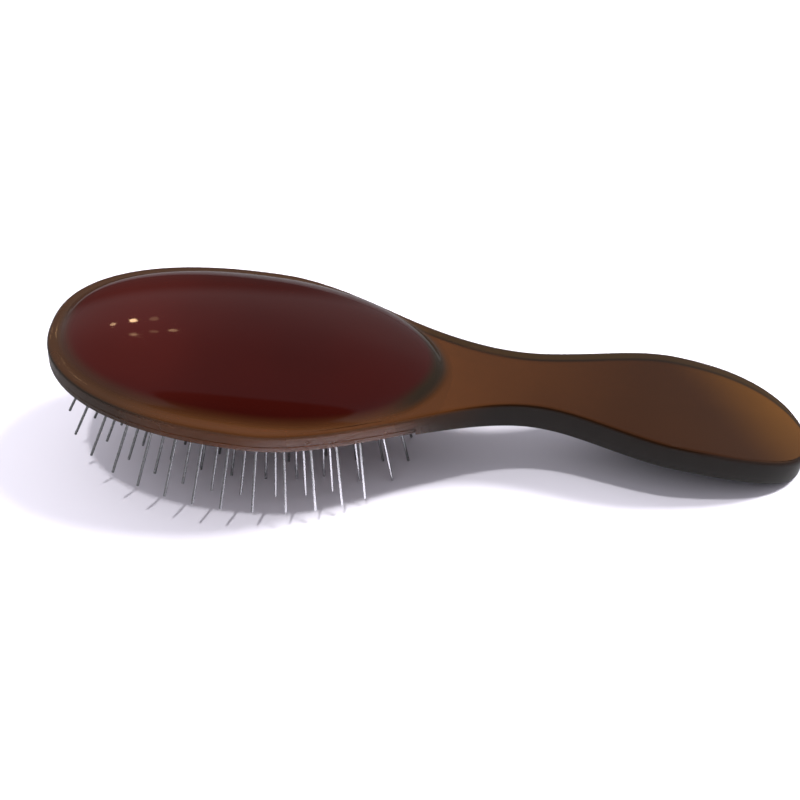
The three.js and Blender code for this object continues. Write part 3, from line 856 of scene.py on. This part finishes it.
def wire_staples():
    """Every pair of neighbouring pins, bent from one wire."""
    tree, inputs = wire_tree()
    pieces = []
    for ring, (roots, ways) in enumerate(PINS, 1):
        for k in range(len(roots) // 2):
            name = f"wire_staple_{ring}_{k + 1:02d}"
            left, right = (roots[2 * k], ways[2 * k]), (roots[2 * k + 1], ways[2 * k + 1])
            points, widths = staple_path(left, right)
            mesh = bpy.data.meshes.new(name)
            edges = [(i, i + 1) for i in range(len(points) - 1)]
            mesh.from_pydata(to_row(points).tolist(), edges, [])
            mark(mesh, "ease", widths)
            piece = bpy.data.objects.new(name, mesh)
            bpy.context.collection.objects.link(piece)
            bend = piece.modifiers.new("wire", "NODES")
            bend.node_group = tree
            bend[inputs["Wire radius"]] = PIN_RADIUS
            bend[inputs["Bend radius"]] = CROWN_BEND
            pieces.append((piece, f"{ring}_{k + 1:02d}"))
    bpy.context.view_layer.update()
    depsgraph = bpy.context.evaluated_depsgraph_get()
    for piece, label in pieces:
        made = bpy.data.meshes.new_from_object(piece.evaluated_get(depsgraph))
        piece.modifiers.clear()
        piece.data = made
        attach(piece, f"staple_{label}")
        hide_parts(f"pin_staple_{label}")


# ---------- camera, floor and light ----------
# Small warm lamps: azimuth from straight behind, elevation, both in degrees, and watts.
LAMP_SPOTS = (
    (-39.0, 37.7, 0.05), (-32.7, 39.0, 0.12), (-38.5, 47.0, 0.03),
    (-27.4, 40.3, 0.008), (-31.4, 47.3, 0.008), (-26.1, 47.8, 0.025),
)
# Their colour and radius, how far off they stand, and the place on the brush they stand round.
LAMP_GLOW, LAMP_RADIUS, LAMP_REACH = (1.0, 0.66, 0.36), 0.012, 0.8
LAMP_AIM = (0.03, 0, 0.008)
# Camera: degrees round the brush, above it and rolled; distance, lens and where the picture is cut.
CAMERA_ANGLES = (-1.72, 45, -9)
CAMERA_REACH, CAMERA_AIM = 0.3674, (0.109, 0, 0)
CAMERA_SENSOR, CAMERA_LENS, CAMERA_SHIFT = 36, 58.5, (-0.0446, -0.0345)
# Sky: its strength overhead, what the walls add, and the plain backdrop that only the camera sees.
SKY_OVERHEAD, SKY_WALLS, SKY_BACKDROP = 0.16, 0.17, 0.85
# Where the sky is darker, along, across and up the brush, and by what share.
BEHIND_CAMERA, DARK_BEHIND_CAMERA = (0.02, -0.62, 0.78), 0.95
FAR_CORNER, DARK_FAR_CORNER = (-0.35, 0.94, 0.0), 0.75
OVERHEAD_TINT, WALL_TINT, FILL_TINT = (0.86, 0.87, 1.0), (0.95, 0.96, 1.0), (0.96, 0.95, 1.0)
FLOOR_HALF = 3.0


def camera():
    """Camera that looks at the brush in the brush's own directions."""
    azimuth, elevation, roll = map(math.radians, CAMERA_ANGLES)
    back = Vector((
        math.sin(azimuth) * math.cos(elevation),
        -math.cos(azimuth) * math.cos(elevation),
        math.sin(elevation),
    ))
    right = Vector((math.cos(azimuth), math.sin(azimuth), 0))
    over = back.cross(right)
    level_right = right * math.cos(roll) - over * math.sin(roll)
    level_up = right * math.sin(roll) + over * math.cos(roll)
    data = bpy.data.cameras.new("camera")
    data.sensor_width, data.lens, data.clip_start = CAMERA_SENSOR, CAMERA_LENS, 0.01
    data.shift_x, data.shift_y = CAMERA_SHIFT
    made = bpy.data.objects.new("camera", data)
    bpy.context.collection.objects.link(made)
    matrix = Matrix.Identity(4)
    for i, v in enumerate((level_right, level_up, back)):
        matrix[0][i], matrix[1][i], matrix[2][i] = turned(v)
    middle = Vector(to_row([CAMERA_AIM])[0])
    matrix.translation = middle + turned(back) * CAMERA_REACH
    made.matrix_world = matrix
    bpy.context.scene.camera = made


def soft_light(name, place, size, energy, colour=(1, 1, 1)):
    """Square lamp over the table, aimed at its middle, that shows in no reflection."""
    data = bpy.data.lights.new(name, "AREA")
    data.shape, data.size, data.size_y = "RECTANGLE", size, size
    data.energy, data.color = energy, colour
    made = bpy.data.objects.new(name, data)
    made.location = place
    made.rotation_euler = (Vector((0, 0, 0)) - Vector(place)).to_track_quat("-Z", "Y").to_euler()
    made.visible_glossy = made.visible_transmission = False
    bpy.context.collection.objects.link(made)


def floor():
    """Square floor at the height the brush rests on."""
    side = FLOOR_HALF
    points = [(-side, -side, 0), (side, -side, 0), (side, side, 0), (-side, side, 0)]
    mesh = bpy.data.meshes.new("floor")
    mesh.from_pydata(points, [], [(0, 1, 2, 3)])
    mesh.materials.append(pale_floor())
    made = bpy.data.objects.new("floor", mesh)
    bpy.context.collection.objects.link(made)


def sky():
    """Soft room light, stronger from the walls, dark behind the camera and in the far corner."""
    finish = Finish("studio", "worlds")
    way = finish.node("ShaderNodeTexCoord")["Generated"]

    def facing(direction):
        sockets = {0: way, 1: tuple(direction)}
        return finish.node("ShaderNodeVectorMath", {"operation": "DOT_PRODUCT"}, sockets)["Value"]

    height = facing((0, 0, 1))
    walls = 1 - finish.between(height, 0.45, 0.92)
    behind_camera = finish.between(facing(turned(BEHIND_CAMERA)), 0.86, 0.90)
    far_corner = finish.between(facing(turned(FAR_CORNER)), 0.88, 0.96)
    glow = (SKY_OVERHEAD + SKY_WALLS * walls) * (1 - DARK_BEHIND_CAMERA * behind_camera)
    glow = glow * (1 - DARK_FAR_CORNER * far_corner)
    backdrop = finish.node("ShaderNodeLightPath")["Is Camera Ray"]
    glow = glow * (1 - backdrop) + SKY_BACKDROP * backdrop
    colour = finish.colours(walls, OVERHEAD_TINT, WALL_TINT)
    background = finish.node("ShaderNodeBackground", {}, {"Color": colour, "Strength": glow})
    finish.node("ShaderNodeOutputWorld", {}, {"Surface": background["Background"]})
    bpy.context.scene.world = finish.material
    bpy.context.scene.view_settings.view_transform = "Standard"


def lamps():
    """Soft lamps that stay with the table, and small ones that stay with the brush."""
    soft_light("lamp_front", place=(-0.06, -0.24, 1.2), size=0.05, energy=9)
    soft_light("lamp_right", place=(0.60, 0.10, 1.05), size=0.22, energy=24)
    soft_light("fill", place=(0, 0, 2.2), size=4, energy=102, colour=FILL_TINT)
    for azimuth, elevation, energy in LAMP_SPOTS:
        a, e = math.radians(azimuth), math.radians(elevation)
        way_there = turned((math.sin(a) * math.cos(e), math.cos(a) * math.cos(e), math.sin(e)))
        data = bpy.data.lights.new("small_lamp", "POINT")
        data.energy, data.color, data.shadow_soft_size = energy, LAMP_GLOW, LAMP_RADIUS
        lamp = bpy.data.objects.new("small_lamp", data)
        lamp.location = Vector(to_row([LAMP_AIM])[0]) + way_there * LAMP_REACH
        bpy.context.collection.objects.link(lamp)


camera()
floor()
sky()
lamps()

body = hollowed(body_outside(), body_hollow())
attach(body, "shell")
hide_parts("brush_body")

ring = ring_piece()
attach(ring, "shell")
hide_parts("cushion_frame")

pad = rubber_pad()
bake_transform(pad)
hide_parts("cushion_pad")

cloth = cloth_piece()
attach(cloth, "pin_carrier")
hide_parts("cushion_cloth")

wire_staples()
